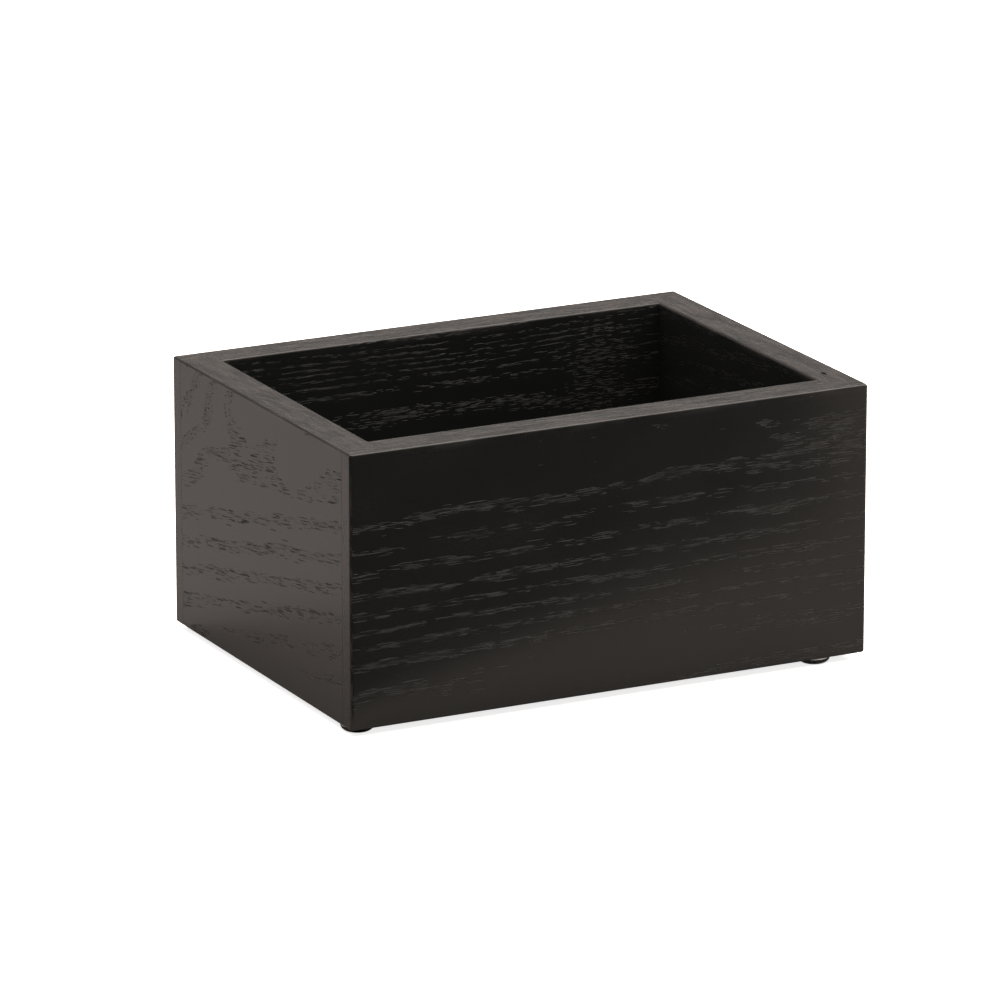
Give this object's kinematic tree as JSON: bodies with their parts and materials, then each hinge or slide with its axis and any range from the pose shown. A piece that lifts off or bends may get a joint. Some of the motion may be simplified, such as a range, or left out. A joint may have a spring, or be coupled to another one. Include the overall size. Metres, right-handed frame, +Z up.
{
  "type": "open wooden box",
  "caption": "Open-topped rectangular box of black-stained oak boards with lapped corners and a bottom panel held in a groove, standing on small clear bumper feet.",
  "frame": {"origin": "middle of the footprint, on the surface that the feet stand on", "axes": "+Z up; +X to the right along the long front; +Y from the front to the back"},
  "size_m": [0.24, 0.172, 0.12],
  "materials": {
    "black_stained_oak": "black-stained open-pore oak with a thin satin lacquer",
    "panel_oak": "black-stained oak-faced panel, matte",
    "clear_rubber": "clear glossy polyurethane rubber",
    "adhesive": "thin disc of milky clear adhesive"
  },
  "bodies": {
    "root": {"front_board": "black_stained_oak", "back_board": "black_stained_oak", "left_board": "black_stained_oak", "right_board": "black_stained_oak", "bottom_panel": "panel_oak", "foot_front_left": "clear_rubber", "foot_front_right": "clear_rubber", "foot_back_left": "clear_rubber", "foot_back_right": "clear_rubber", "foot_adhesive_front_left": "adhesive", "foot_adhesive_front_right": "adhesive", "foot_adhesive_back_left": "adhesive", "foot_adhesive_back_right": "adhesive"}
  },
  "joints": []
}
